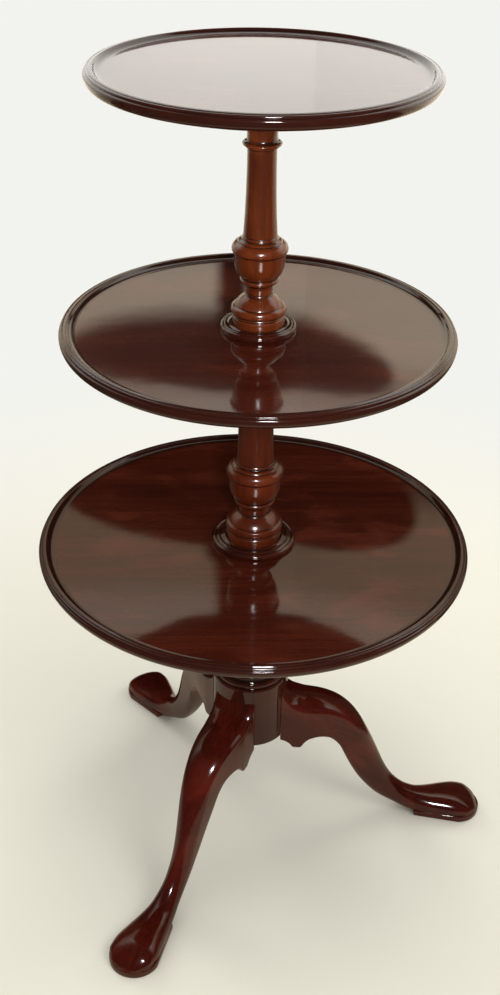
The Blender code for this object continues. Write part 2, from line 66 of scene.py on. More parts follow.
# Columns
COLUMN_SWELL = 0.018
LOWER_NECK_RADIUS = 0.0207
UPPER_NECK_RADIUS = 0.0166
VASE_FOOT_HEIGHT = 0.065
LOWER_BOWL_HEIGHT = 0.0605
UPPER_BOWL_HEIGHT = 0.0565
LOWER_SHAFT_TOP_RADIUS = 0.0225
UPPER_SHAFT_TOP_RADIUS = 0.0176

# Collars round the column feet
COLLAR_HEIGHT = 0.0092
LOWER_COLLAR_WIDTH = 0.0183
UPPER_COLLAR_WIDTH = 0.0133
COLLAR_SLACK = 0.001

# Pedestal
BLOCK_RADIUS = 0.055
BLOCK_BOTTOM = 0.178
BLOCK_HEIGHT = 0.103
RING_HEIGHT = 0.025
STEM_HEIGHT = 0.079
STEM_FOOT_RADIUS = 0.0305
STEM_TOP_RADIUS = 0.0285
STEM_SWEEP_HEIGHT = 0.036

# Legs
FOOT_REACH = 0.364
LEG_SEAT_HEIGHT = 0.080
LEG_HALF_WIDTH = 0.032
SLAB_THICKNESS = 0.010
SLAB_HEEL_SHARE = 0.675
SLAB_HEEL_HALF_WIDTH = 0.020
SLAB_TOE_RADIUS = 0.036
SLAB_ROUNDING = 0.0012
TONGUE_DEPTH = 0.014
TONGUE_ROOT_HALF_WIDTH = 0.008
TONGUE_TIP_HALF_WIDTH = 0.0105
TONGUE_HEIGHT = 0.060

# Iron plate and screws
PLATE_THICKNESS = 0.003
PLATE_END_GAP = 0.001
PLATE_ARM_HALF_WIDTH = 0.008
PLATE_CROTCH_RADIUS = 0.0135
PLATE_ROUNDING = 0.0004
SCREW_HEAD_RADIUS = 0.0038
SCREW_HEAD_HEIGHT = 0.0022
SCREW_SHANK_RADIUS = 0.0019
SCREW_TIP_HEIGHT = 0.003
SCREW_SLOT_HALF_WIDTH = 0.0005
SCREW_SLOT_DEPTH = 0.0011
PLATE_SCREW_LENGTH = 0.022
BEARER_SCREW_LENGTH = 0.0155
BEARER_SCREW_COUNT = 3
PLATE_INNER_SCREW_REACH = 0.018

# Facets, smooth lines and shading
TIER_SEGMENTS = 144
TURNED_SEGMENTS = 96
SCREW_SEGMENTS = 24
OUTLINE_STEPS = 4
STATION_STEPS = 4
LEG_CROWN_POINTS = 12
LEG_CORNER_POINTS = 8
SLAB_ARC_POINTS = 24
SMOOTH_ANGLE = math.radians(38)
CREASE_CURVATURE = 260.0
LONG_RUN = 0.012
GUARD_REACH = 0.0006
WELD_DISTANCE = GLUE_GAP / 100
SHORTEST_STEP = 1e-7
SHORTEST_EDGE_SQUARED = 1e-9
SLAB_ROUNDING_SEGMENTS = 3
PLATE_ROUNDING_SEGMENTS = 2
FLOOR_SEGMENTS = 96

# Rim section: in from the edge by shares of its width, down from the lip by shares of the board
RIM_SHARES = (
    (1.00, 0.333), (0.85, 0.319), (0.72, 0.272), (0.62, 0.183), (0.56, 0.083), (0.52, 0.022),
    (0.47, 0.000), (0.36, 0.014), (0.295, 0.044), (0.26, 0.083), (0.23, 0.075), (0.20, 0.061),
    (0.145, 0.083), (0.105, 0.139), (0.10, 0.200), (0.115, 0.239), (0.075, 0.272), (0.025, 0.317),
    (0.00, 0.406), (0.01, 0.522), (0.04, 0.667), (0.105, 0.811), (0.22, 0.933), (0.38, 1.000),
)

# Column outlines: out from the neck by shares of the swell, up by shares of each part's height
VASE_FOOT_SHARES = (
    (0.911, 0.000), (0.911, 0.262), (0.856, 0.288), (0.922, 0.310), (0.889, 0.334), (0.990, 0.366),
    (1.006, 0.398), (0.960, 0.452), (0.867, 0.480), (0.739, 0.495), (0.700, 0.516), (0.556, 0.577),
    (0.378, 0.629), (0.189, 0.669), (0.045, 0.705), (0.000, 0.746), (0.000, 0.838), (0.050, 0.894),
    (0.180, 0.934), (0.335, 0.955), (0.414, 1.000),
)
BOWL_SHARES = (
    (0.339, 0.048), (0.461, 0.101), (0.639, 0.181), (0.744, 0.267), (0.806, 0.363), (0.822, 0.487),
    (0.850, 0.602), (0.878, 0.632), (0.978, 0.657), (1.000, 0.706), (0.944, 0.770), (0.833, 0.819),
    (0.689, 0.848), (0.611, 0.858), (0.544, 0.890), (0.322, 0.929), (0.289, 0.968), (0.233, 1.000),
)
HEAD_SHARES = (
    (0.35, 0.084), (0.35, 0.143), (0.81, 0.160), (1.00, 0.232), (0.81, 0.308), (0.38, 0.338),
    (0.05, 0.464), (0.00, 0.688), (0.15, 1.000),
)

# Collars: out from the bore and up from the board
COLLAR_SHARES = (
    (0.95, 0.00), (1.00, 0.28), (1.00, 0.50), (0.93, 0.70), (0.81, 0.78), (0.72, 0.68),
    (0.64, 0.81), (0.55, 0.87), (0.38, 0.86), (0.20, 0.97), (0.04, 1.00), (0.00, 0.94),
)

# Pedestal: rings by shares of the block's radius, then the width that the sweep still has to lose
RING_SHARES = (
    (0.972, 0.00), (0.916, 0.04), (0.936, 0.10), (0.943, 0.22), (0.925, 0.36), (0.884, 0.42),
    (0.855, 0.54), (0.848, 0.66), (0.860, 0.76), (0.840, 0.80), (0.848, 0.87), (0.826, 0.97),
    (0.764, 1.00),
)
STEM_SWEEP_SHARES = ((0.55, 0.12), (0.29, 0.33), (0.12, 0.62), (0.0, 1.0))

# Bearers: out from the foot and up
BEARER_SHARES = ((0.05, 0.05), (0.10, 0.25), (0.22, 0.47), (0.44, 0.68), (0.74, 0.82), (1.00, 0.87))

# Leg stations: crown reach and height, underside reach and height, half width, side's top edge, corner
LEG_STATION_SHARES = (
    (0.000, 1.000, 0.000, 0.655, 1.000, 0.97, 0.05),
    (0.018, 0.973, 0.018, 0.647, 1.000, 0.90, 0.05),
    (0.047, 0.938, 0.043, 0.625, 1.000, 0.86, 0.05),
    (0.075, 0.924, 0.064, 0.597, 1.000, 0.83, 0.05),
    (0.100, 0.915, 0.094, 0.595, 1.000, 0.81, 0.05),
    (0.119, 0.908, 0.115, 0.630, 0.990, 0.78, 0.05),
    (0.147, 0.902, 0.142, 0.655, 0.970, 0.76, 0.05),
    (0.204, 0.886, 0.182, 0.664, 0.920, 0.77, 0.06),
    (0.273, 0.852, 0.223, 0.655, 0.840, 0.78, 0.06),
    (0.336, 0.792, 0.259, 0.620, 0.757, 0.78, 0.07),
    (0.380, 0.722, 0.288, 0.569, 0.699, 0.76, 0.10),
    (0.414, 0.645, 0.306, 0.516, 0.659, 0.72, 0.16),
    (0.448, 0.556, 0.326, 0.453, 0.601, 0.67, 0.26),
    (0.477, 0.471, 0.349, 0.386, 0.548, 0.62, 0.40),
    (0.511, 0.370, 0.382, 0.303, 0.499, 0.57, 0.58),
    (0.548, 0.285, 0.424, 0.223, 0.476, 0.54, 0.78),
    (0.596, 0.215, 0.482, 0.141, 0.476, 0.52, 0.95),
    (0.649, 0.168, 0.553, 0.083, 0.521, 0.50, 1.00),
    (0.705, 0.142, 0.643, 0.029, 0.623, 0.48, 0.85),
    (0.768, 0.134, 0.749, 0.019, 0.812, 0.42, 0.50),
    (0.824, 0.136, 0.818, 0.019, 0.950, 0.38, 0.30),
    (0.878, 0.133, 0.878, 0.019, 1.050, 0.36, 0.30),
    (0.925, 0.117, 0.925, 0.019, 1.025, 0.40, 0.30),
    (0.961, 0.089, 0.961, 0.019, 0.810, 0.45, 0.30),
    (0.981, 0.063, 0.981, 0.019, 0.600, 0.50, 0.30),
    (0.991, 0.042, 0.991, 0.019, 0.390, 0.50, 0.30),
)

# Places worked out from the sizes above
BLOCK_TOP = BLOCK_BOTTOM + BLOCK_HEIGHT
LEG_TOP = BLOCK_BOTTOM + LEG_SEAT_HEIGHT
SWEEP_START = BLOCK_TOP + RING_HEIGHT
STEM_END = SWEEP_START + STEM_SWEEP_HEIGHT + STEM_HEIGHT
BOTTOM_LIP = STEM_END + HEAD_HEIGHT + BEARING_DROP
LIP_HEIGHTS = {
    "bottom": BOTTOM_LIP,
    "middle": BOTTOM_LIP + TIER_PITCH,
    "top": BOTTOM_LIP + 2 * TIER_PITCH,
}
AXIS_OFFSET = (FOOT_REACH - BOTTOM_TIER_RADIUS) / 2
AXIS = Vector((-AXIS_OFFSET, 0.0, 0.0))
SEAT_RADIUS = math.sqrt(BLOCK_RADIUS**2 - LEG_HALF_WIDTH**2)
LEG_START = SEAT_RADIUS + GLUE_GAP
TONGUE_MIDDLE_REACH = SEAT_RADIUS - TONGUE_DEPTH / 2
PLATE_ARM_REACH = SEAT_RADIUS - PLATE_END_GAP
LEG_AZIMUTHS = {"right": 0.0, "back": math.radians(120), "front": math.radians(240)}

# Camera, fitted to the tiers' rims and the feet in the photograph; its place starts at the stem's foot
IMAGE_HEIGHT = 995
FOCAL_PIXELS = 1321.2
SENSOR_WIDTH = 36.0
CLIP_START = 0.05
CAMERA_PLACE = Vector((-0.0687, -1.5168, 1.5054))
CAMERA_RIGHT = Vector((0.9994, -0.0306, 0.0174))
CAMERA_FORWARD = Vector((0.0352, 0.8515, -0.5231))

# Lamps: place, target, width of the disk, power
FLASH_PLACE = (0.055, -1.52, 1.490)
WALL_FLASH = (FLASH_PLACE, (0.0, 0.38, 1.1), 0.09, 1200.0)
KEY_LAMP = (FLASH_PLACE, (-AXIS_OFFSET, 0.0, 0.7), 0.26, 27.0)
FLOOR_WASH = ((0.0, 0.0, 3.4), (0.0, 0.0, 0.0), 9.0, 172.0)
SOFT_LAMPS = {
    "soft_key": ((1.5, -1.8, 2.6), (0.0, 0.0, 0.5), 1.6, 24.0),
    "overhead": ((-0.3, 0.0, 3.3), (0.0, 0.0, 0.4), 2.4, 20.0),
    "rear_left": ((-1.8, 2.4, 1.9), (0.0, 0.0, 0.6), 1.4, 20.0),
    "rear_right": ((2.3, 1.6, 1.6), (0.0, 0.0, 0.6), 1.4, 16.0),
}

# Room: the soft light on the table, and what the polish mirrors in front and behind
SOFT_LEVEL = 0.22
ROOM_FRONT_LEVEL = 0.03
ROOM_BACK_LEVEL = 0.40
ROOM_TURN = (-0.10, 0.60)
SOFT_COLOUR = (1.0, 0.99, 0.97)
ROOM_COLOUR = (1.0, 0.97, 0.90)
PALE = (0.89, 0.895, 0.86)

# Floor: its paint, the painted shade that makes its reflection darker and browner and dims it outwards, and
# how it turns into the background
FLOOR_RADIUS = 14.0
FLOOR_COLOUR = (0.83, 0.80, 0.68)
FLOOR_ROUGHNESS = 0.6
FLOOR_SPECULAR_LEVEL = 0.2
MIRRORED_FLOOR_SHADE_COLOUR = (0.60, 0.50, 0.36)
MIRRORED_FLOOR_SHADE = (0.45, 1.1, 0.0, 0.88)
FLOOR_FADE = (0.6, 1.7)
BLACK = (0.0, 0.0, 0.0)

# Wall card, close behind the table as the photograph's white wall is: its corners as seen from above,
# measured from the stem's axis, and its colour by height, which paints shadow on it: nearly black low down
# and dimmer in a band round 1.07 m
WALL_LEFT = (-3.0, 0.441)
WALL_FOLD = (0.090, 0.379)
WALL_RIGHT = (2.6, -0.575)
WALL_HEIGHT = 3.0
WALL_SHADOW_TONES = (
    (0.61, (0.004, 0.003, 0.002)),
    (0.67, (0.0325, 0.0265, 0.0185)),
    (0.84, (0.0305, 0.0258, 0.0178)),
    (0.90, (0.0455, 0.0400, 0.0315)),
    (1.02, (0.0535, 0.0460, 0.0355)),
    (1.07, (0.030, 0.026, 0.020)),
    (1.14, (0.044, 0.040, 0.033)),
    (1.18, (0.062, 0.061, 0.057)),
)

# Woods: dark colour, light colour, direction of the grain, place in the grain
GRAIN_ALONG_X = (0.0, 0.0, 0.0)
GRAIN_UPRIGHT = (0.0, math.radians(90), 0.0)
GRAIN_DOWN_LEG = (0.0, math.radians(-31.5), 0.0)
TIER_WOODS = {
    "bottom": ((0.024, 0.0036, 0.0018), (0.067, 0.0115, 0.0050), GRAIN_ALONG_X, (0.31, 0.13, 0.0)),
    "middle": ((0.024, 0.0032, 0.0017), (0.060, 0.0096, 0.0042), GRAIN_ALONG_X, (1.72, 0.44, 0.2)),
    "top": ((0.030, 0.0040, 0.0021), (0.055, 0.0085, 0.0038), GRAIN_ALONG_X, (2.90, 0.91, 0.4)),
}
BEARER_WOOD = ((0.022, 0.004, 0.002), (0.070, 0.012, 0.005), GRAIN_ALONG_X, (4.1, 0.3, 0.0))
COLLAR_WOOD = ((0.014, 0.003, 0.002), (0.045, 0.009, 0.004), GRAIN_ALONG_X, (5.2, 0.7, 0.0))
LOWER_COLUMN_WOOD = ((0.044, 0.0064, 0.0022), (0.100, 0.0172, 0.0044), GRAIN_UPRIGHT, (0.5, 0.2, 0.9))
UPPER_COLUMN_WOOD = ((0.054, 0.0080, 0.0024), (0.134, 0.026, 0.0052), GRAIN_UPRIGHT, (2.5, 0.6, 0.1))
PEDESTAL_WOOD = ((0.012, 0.003, 0.002), (0.040, 0.008, 0.004), GRAIN_UPRIGHT, (3.3, 0.4, 0.6))
LEG_COLOURS = ((0.020, 0.0022, 0.0014), (0.068, 0.0070, 0.0030))
LEG_SEEDS = {"right": (0.2, 0.1, 0.0), "back": (1.4, 0.5, 0.3), "front": (2.7, 0.8, 0.7)}

# Polish: the coat's roughness, and the soft gleam under the coat
CLEAR_POLISH = 0.07
BEARER_POLISH = 0.12
LEG_POLISH = 0.13
COLUMN_POLISH = 0.19
TIER_HAZE = 0.015
COLUMN_HAZE = 0.04

# Noises: stretch along and across the grain, scale, detail, distortion
EVEN = (1.0, 1.0, 1.0)
FIGURE_NOISE = ((1.0, 7.0, 7.0), 2.6, 4.0, 0.8)
RIBBON_NOISE = ((0.35, 9.0, 9.0), 7.0, 2.0, 0.4)
STREAK_NOISE = ((1.0, 30.0, 30.0), 9.0, 4.0, 0.2)
FIBRE_NOISE = ((1.0, 40.0, 40.0), 42.0, 3.0)
PORE_NOISE = ((1.0, 22.0, 22.0), 120.0, 1.0)
CLOUD_NOISE = ((1.0, 1.6, 1.6), 5.0, 2.0)
FADING_NOISE = ((1.0, 1.8, 1.8), 8.0, 3.0, 0.5)
PATCH_NOISE = (EVEN, 60.0, 3.0)
WAVE_NOISE = (EVEN, 26.0, 1.0)
SWELL_NOISE = (EVEN, 11.0, 2.0)
RUST_NOISE = (EVEN, 140.0, 5.0)
GRIT_NOISE = (EVEN, 900.0, 2.0)

# Ranges: from low to high, and what low and high become where that isn't 0 and 1
TONE_RANGE = (0.32, 0.70)
CLOUD_RANGE = (0.30, 0.72, 0.86, 1.10)
FADING_RANGE = (0.50, 0.74, 0.0, 0.40)
PORE_RANGE = (0.60, 0.70)
PATCH_RANGE = (0.30, 0.65, 0.45, 1.0)
WAX_AND_SHADE_RANGE = (0.05, 0.60, 0.0, 0.94)
WEAR_RANGE = (0.25, 1.0, 0.0, 0.14)
ROUGHNESS_RANGE = (0.35, 0.65, 0.42, 0.32)
RUST_RANGE = (0.45, 0.68)
GRIME_RANGE = (0.2, 1.0, 0.0, 0.7)

# Shares of the layers in a wood's tone, colour, roughness and relief
FIGURE_SHARE = 0.34
RIBBON_SHARE = 0.20
STREAK_SHARE = 0.28
FIBRE_SHARE = 0.18
PORE_SHARE = 0.50
RIM_SHADE_SHARE = 0.62
WAX_ROUGHENING = 0.2
FIBRE_RELIEF = 0.3
PORE_RELIEF = -0.7
SWELL_RELIEF = 7.0
STREAK_RELIEF = 0.035

# Colours made from a wood's own: how many times as bright, and what is added
FADED = (2.2, 0.003)
IN_PORES = (0.35, 0.0)
WORN = (1.4, 0.004)

# Wax and painted shade in the hollows, and painted shade on a tier's rim, which darkens over twice the
# blend
WAX_AND_SHADE_COLOUR = (0.006, 0.003, 0.002)
RIM_SHADE_COLOUR = (0.014, 0.0045, 0.003)
RIM_SHADE_BLEND = RIM_WIDTH / 8

# Irons: colour, rust's colour, roughness, rust's share
PLATE_IRON = ((0.045, 0.042, 0.040), (0.070, 0.026, 0.010), 0.42, 0.75)
SCREW_IRON = ((0.170, 0.160, 0.145), (0.075, 0.030, 0.012), 0.34, 0.55)
RUST_ROUGHENING = 0.35
RUST_METAL_LOSS = -0.8
GRIT_RELIEF = 0.4
GRIME_COLOUR = (0.012, 0.008, 0.006)

# Bumps: strength and depth
GRAIN_BUMP = (0.25, 0.00015)
POLISH_BUMP = (0.5, 0.00008)
IRON_BUMP = (0.35, 0.0003)


# Meshes
def slopes(values, places):
    """Slopes of a cubic through the values that never overshoots them."""
    steps = np.diff(values) / np.diff(places)
    found = np.zeros(len(values))
    found[0] = steps[0]
    found[-1] = steps[-1]
    for index in range(1, len(values) - 1):
        before, after = steps[index - 1], steps[index]
        if before * after > 0:
            near = places[index] - places[index - 1]
            far = places[index + 1] - places[index]
            first = (2 * far + near) / (3 * (near + far))
            found[index] = 1 / (first / before + (1 - first) / after)
    return found


def smooth_line(points, steps):
    """More points on a smooth line through the given ones; sharp turns stay sharp."""
    rows = np.array(points, float)
    gaps = np.linalg.norm(np.diff(rows[:, :2], axis=0), axis=1)
    places = np.concatenate([[0.0], np.cumsum(np.maximum(gaps, SHORTEST_STEP))])
    columns = []
    for column in rows.T:
        slope = slopes(column, places)
        made = []
        for index in range(len(column) - 1):
            width = places[index + 1] - places[index]
            for t in np.arange(steps) / steps:
                made.append(
                    (2 * t**3 - 3 * t**2 + 1) * column[index]
                    + (t**3 - 2 * t**2 + t) * width * slope[index]
                    + (3 * t**2 - 2 * t**3) * column[index + 1]
                    + (t**3 - t**2) * width * slope[index + 1]
                )
        made.append(column[-1])
        columns.append(made)
    return list(zip(*columns))


def guarded(outline):
    """The outline with a point close to each end of every long run, so that its shading stays even."""
    points = [outline[0]]
    for start, end in zip(outline, outline[1:]):
        run = math.dist(start, end)
        if run > LONG_RUN:
            for share in (GUARD_REACH / run, 1 - GUARD_REACH / run):
                points.append(tuple(a + (b - a) * share for a, b in zip(start, end)))
        points.append(end)
    return points


def turned(outline, segments, ring=False):
    """A bmesh spun from (radius, height) points; a ring's outline closes on itself off the axis."""
    shape = bmesh.new()
    corners = [shape.verts.new((radius, 0.0, height)) for radius, height in guarded(outline)]
    edges = [shape.edges.new(pair) for pair in zip(corners, corners[1:])]
    if ring:
        edges.append(shape.edges.new((corners[-1], corners[0])))
    bmesh.ops.spin(
        shape,
        geom=corners + edges,
        cent=(0.0, 0.0, 0.0),
        axis=(0.0, 0.0, 1.0),
        angle=math.tau,
        steps=segments,
    )
    bmesh.ops.remove_doubles(shape, verts=shape.verts, dist=WELD_DISTANCE)
    return shape


def extruded(outline, bottom, top):
    """A prism from a closed outline of (x, y) points."""
    shape = bmesh.new()
    face = shape.faces.new([shape.verts.new((x, y, bottom)) for x, y in outline])
    raised = bmesh.ops.extrude_face_region(shape, geom=[face])
    corners = [item for item in raised["geom"] if isinstance(item, bmesh.types.BMVert)]
    bmesh.ops.translate(shape, verts=corners, vec=Vector((0.0, 0.0, top - bottom)))
    return shape


def placed(name, shape, place=AXIS, turn=0.0):
    """An object made from a bmesh, which is turned about its own upright axis first."""
    bmesh.ops.rotate(shape, verts=shape.verts, matrix=Matrix.Rotation(turn, 3, "Z"))
    bmesh.ops.recalc_face_normals(shape, faces=shape.faces)
    mesh = bpy.data.meshes.new(name)
    shape.to_mesh(mesh)
    shape.free()
    made = bpy.data.objects.new(name, mesh)
    bpy.context.scene.collection.objects.link(made)
    made.location = place
    return made


def round_edges(made, width, segments):
    step = made.modifiers.new("rounding", "BEVEL")
    step.width = width
    step.segments = segments
    step.limit_method = "ANGLE"
    step.angle_limit = SMOOTH_ANGLE


def settle(made):
    """Turns an object's modifiers into its mesh."""
    bpy.context.view_layer.update()
    graph = bpy.context.evaluated_depsgraph_get()
    mesh = bpy.data.meshes.new_from_object(made.evaluated_get(graph))
    made.modifiers.clear()
    made.data = mesh


def cut_or_join(made, tools, operation):
    """Cuts the tools from an object, or joins them to it, and takes the tools away."""
    for tool in tools:
        step = made.modifiers.new(tool.name, "BOOLEAN")
        step.operation = operation
        step.solver = "EXACT"
        step.object = tool
    settle(made)
    for tool in tools:
        bpy.data.objects.remove(tool)


def mark_hollows(mesh):
    """Stores how hollow, above 0, or how proud, below 0, the surface is at each corner."""
    count = len(mesh.vertices)
    places = np.zeros(count * 3)
    mesh.vertices.foreach_get("co", places)
    places = places.reshape(-1, 3)
    normals = np.zeros(count * 3, np.float32)
    mesh.vertex_normals.foreach_get("vector", normals)
    normals = normals.reshape(-1, 3)
    ends = np.zeros(len(mesh.edges) * 2, np.int32)
    mesh.edges.foreach_get("vertices", ends)
    ends = ends.reshape(-1, 2)
    across = places[ends[:, 1]] - places[ends[:, 0]]
    squares = np.maximum((across**2).sum(axis=1), SHORTEST_EDGE_SQUARED)
    bend = np.zeros(count)
    near = (normals[ends[:, 0]] * across).sum(axis=1) / squares
    far = -(normals[ends[:, 1]] * across).sum(axis=1) / squares
    np.add.at(bend, ends[:, 0], near)
    np.add.at(bend, ends[:, 1], far)
    hollow = np.clip(bend / CREASE_CURVATURE, -1.0, 1.0)
    stored = mesh.attributes.new("hollow", "FLOAT", "POINT")
    stored.data.foreach_set("value", hollow.astype(np.float32))


def dress(made, finish, body, node):
    """Shading, material, body and replaced node of one piece."""
    mesh = made.data
    mesh.materials.clear()
    mesh.materials.append(finish)
    mesh.shade_smooth()
    mesh.set_sharp_from_angle(angle=SMOOTH_ANGLE)
    mark_hollows(mesh)
    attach(made, body)
    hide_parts(node)


# Heights and places shared by pieces
def shoulder_height(tier):
    return LIP_HEIGHTS[tier] - BEARING_DROP


def floor_height(tier):
    return LIP_HEIGHTS[tier] - DISH_DEPTH


def column_foot_height(tier):
    return floor_height(tier) + RUNNING_GAP + GLUE_GAP


def bearer_foot_radius(head_radius):
    return head_radius + HEAD_SHARES[-1][0] * HEAD_SWELL


def round_the_axis(reach, turn, height):
    return Vector((reach * math.cos(turn), reach * math.sin(turn), height))


# Turned pieces
def head_outline(neck_radius, tier):
    start = shoulder_height(tier) - HEAD_HEIGHT
    return [(neck_radius + out * HEAD_SWELL, start + up * HEAD_HEIGHT) for out, up in HEAD_SHARES]


def tenon_end(radius, end):
    chamfer = radius * TENON_CHAMFER_SHARE
    return [(radius, end - chamfer), (radius - chamfer, end), (0.0, end)]


def spindle_outline(radius, tenon_radius, tier):
    seat = column_foot_height(tier) - GLUE_GAP
    spindle = [(radius, shoulder_height(tier)), (radius, seat), (tenon_radius, seat)]
    return spindle + tenon_end(tenon_radius, seat + TENON_LENGTH)


def column_outline(neck_radius, bowl_height, shaft_top_radius, head_radius, tier, upper_tier):
    """Foot, vase, shaft and head of a column that stands on the named tier's spindle."""
    foot = column_foot_height(tier)
    vase_middle = foot + VASE_FOOT_HEIGHT
    shown = []
    for out, up in VASE_FOOT_SHARES:
        shown.append((neck_radius + out * COLUMN_SWELL, foot + up * VASE_FOOT_HEIGHT))
    for out, up in BOWL_SHARES:
        shown.append((neck_radius + out * COLUMN_SWELL, vase_middle + up * bowl_height))
    shown.append((shaft_top_radius, shoulder_height(upper_tier) - HEAD_HEIGHT))
    shown += head_outline(head_radius, upper_tier)
    return smooth_line(shown, OUTLINE_STEPS)


def socket_outline(radius, tier):
    foot = column_foot_height(tier)
    end = foot + TENON_LENGTH + GLUE_GAP
    return [(0.0, end), (radius, end), (radius, foot)]


def make_lower_column(finish):
    outline = socket_outline(LOWER_TENON_RADIUS + GLUE_GAP, "bottom")
    outline += column_outline(
        LOWER_NECK_RADIUS, LOWER_BOWL_HEIGHT, LOWER_SHAFT_TOP_RADIUS, LOWER_HEAD_RADIUS, "bottom", "middle"
    )
    outline += spindle_outline(LOWER_SPINDLE_RADIUS, UPPER_TENON_RADIUS, "middle")
    made = placed("lower_column_turning", turned(outline, TURNED_SEGMENTS))
    dress(made, finish, "stand", "lower_column")


def make_upper_column(finish):
    outline = socket_outline(UPPER_TENON_RADIUS + GLUE_GAP, "middle")
    outline += column_outline(
        UPPER_NECK_RADIUS, UPPER_BOWL_HEIGHT, UPPER_SHAFT_TOP_RADIUS, UPPER_HEAD_RADIUS, "middle", "top"
    )
    pin_end = LIP_HEIGHTS["top"] - BOARD_THICKNESS - 2 * GLUE_GAP
    outline += [(UPPER_SPINDLE_RADIUS, shoulder_height("top")), *tenon_end(UPPER_SPINDLE_RADIUS, pin_end)]
    made = placed("upper_column_turning", turned(outline, TURNED_SEGMENTS))
    dress(made, finish, "stand", "upper_column")


def make_tier(tier, radius, spindle_radius, finish):
    """A dished board; all but the top one have a bearing hole."""
    lip = LIP_HEIGHTS[tier]
    rim = [(radius - inset * RIM_WIDTH, lip - down * BOARD_THICKNESS) for inset, down in RIM_SHARES]
    rim = smooth_line(rim, OUTLINE_STEPS)
    whole = tier == "top"
    bore = 0.0 if whole else spindle_radius + RUNNING_GAP
    outline = [(bore, floor_height(tier)), *rim, (bore, lip - BOARD_THICKNESS)]
    made = placed(f"{tier}_board", turned(outline, TIER_SEGMENTS, ring=not whole))
    dress(made, finish, f"{tier}_turning", f"{tier}_tier")


def make_bearer(tier, head_radius, spindle_radius, finish):
    bottom = shoulder_height(tier) + GLUE_GAP
    top = LIP_HEIGHTS[tier] - BOARD_THICKNESS - GLUE_GAP
    height = top - bottom
    foot_radius = bearer_foot_radius(head_radius)
    bore = spindle_radius + RUNNING_GAP
    under = [(foot_radius, bottom)]
    under += [(foot_radius + out * BEARER_FLARE, bottom + up * height) for out, up in BEARER_SHARES]
    outline = [(bore, bottom), *smooth_line(under, OUTLINE_STEPS)]
    outline += [(foot_radius + BEARER_FLARE, top), (bore, top)]
    made = placed(f"{tier}_bearer_turning", turned(outline, TURNED_SEGMENTS, ring=True))
    holes = []
    for name, place, turn in bearer_screws(tier, head_radius):
        holes.append(placed(f"{name}_hole", screw_room(BEARER_SCREW_LENGTH), AXIS + place, turn))
    cut_or_join(made, holes, "DIFFERENCE")
    dress(made, finish, f"{tier}_turning", f"{tier}_bearer")


def make_collar(tier, neck_radius, width, finish):
    bore = neck_radius + VASE_FOOT_SHARES[0][0] * COLUMN_SWELL + COLLAR_SLACK
    base = floor_height(tier) + GLUE_GAP
    section = [(bore + out * width, base + up * COLLAR_HEIGHT) for out, up in COLLAR_SHARES]
    outline = [(bore, base), *smooth_line(section, OUTLINE_STEPS)]
    made = placed(f"{tier}_collar_ring", turned(outline, TURNED_SEGMENTS, ring=True))
    dress(made, finish, f"{tier}_turning", f"{tier}_collar")


# Screws and plate
def screw_room(length):
    """The room that a screw takes, with a gap all round and a way in from below."""
    outline = [
        (0.0, -OVERRUN),
        (SCREW_HEAD_RADIUS + GLUE_GAP, -OVERRUN),
        (SCREW_HEAD_RADIUS + GLUE_GAP, 0.0),
        (SCREW_SHANK_RADIUS + GLUE_GAP, SCREW_HEAD_HEIGHT),
        (SCREW_SHANK_RADIUS + GLUE_GAP, length + GLUE_GAP),
        (0.0, length + GLUE_GAP),
    ]
    return turned(outline, SCREW_SEGMENTS)


def make_screw(name, length, place, turn, finish, body):
    """A countersunk, slotted screw with its head down."""
    outline = [
        (0.0, 0.0),
        (SCREW_HEAD_RADIUS, 0.0),
        (SCREW_SHANK_RADIUS, SCREW_HEAD_HEIGHT),
        (SCREW_SHANK_RADIUS, length - SCREW_TIP_HEIGHT),
        (0.0, length),
    ]
    made = placed(f"{name}_slotted", turned(outline, SCREW_SEGMENTS), AXIS + place, turn)
    slot_outline = box_outline(-2 * SCREW_HEAD_RADIUS, 2 * SCREW_HEAD_RADIUS, SCREW_SLOT_HALF_WIDTH)
    slot = placed(f"{name}_slot", extruded(slot_outline, -OVERRUN, SCREW_SLOT_DEPTH), AXIS + place, turn)
    cut_or_join(made, [slot], "DIFFERENCE")
    dress(made, finish, body, name)


def bearer_screws(tier, head_radius):
    """Name, place and turn of each screw through a bearer's flange."""
    foot_radius = bearer_foot_radius(head_radius)
    reach = foot_radius + BEARER_FLARE - 2 * SCREW_HEAD_RADIUS
    height = LIP_HEIGHTS[tier] - BOARD_THICKNESS - GLUE_GAP - BEARER_EDGE
    found = []
    for number in range(BEARER_SCREW_COUNT):
        turn = math.tau * number / BEARER_SCREW_COUNT
        name = f"{tier}_bearer_screw_{number + 1}"
        found.append((name, round_the_axis(reach, turn, height), turn + number))
    return found


def plate_screws():
    """Number, leg or None, place and turn of each screw through the iron plate."""
    found = []
    bottom = BLOCK_BOTTOM - GLUE_GAP - PLATE_THICKNESS
    for side, turn in LEG_AZIMUTHS.items():
        for reach, holder in ((PLATE_INNER_SCREW_REACH, None), (TONGUE_MIDDLE_REACH, side)):
            place = round_the_axis(reach, turn, bottom)
            found.append((len(found) + 1, holder, place, turn + len(found)))
    return found


def plate_screw_holes(label, holder=None, everywhere=False):
    found = []
    for number, side, place, turn in plate_screws():
        if everywhere or side == holder:
            name = f"{label}_hole_{number}"
            found.append(placed(name, screw_room(PLATE_SCREW_LENGTH), AXIS + place, turn))
    return found


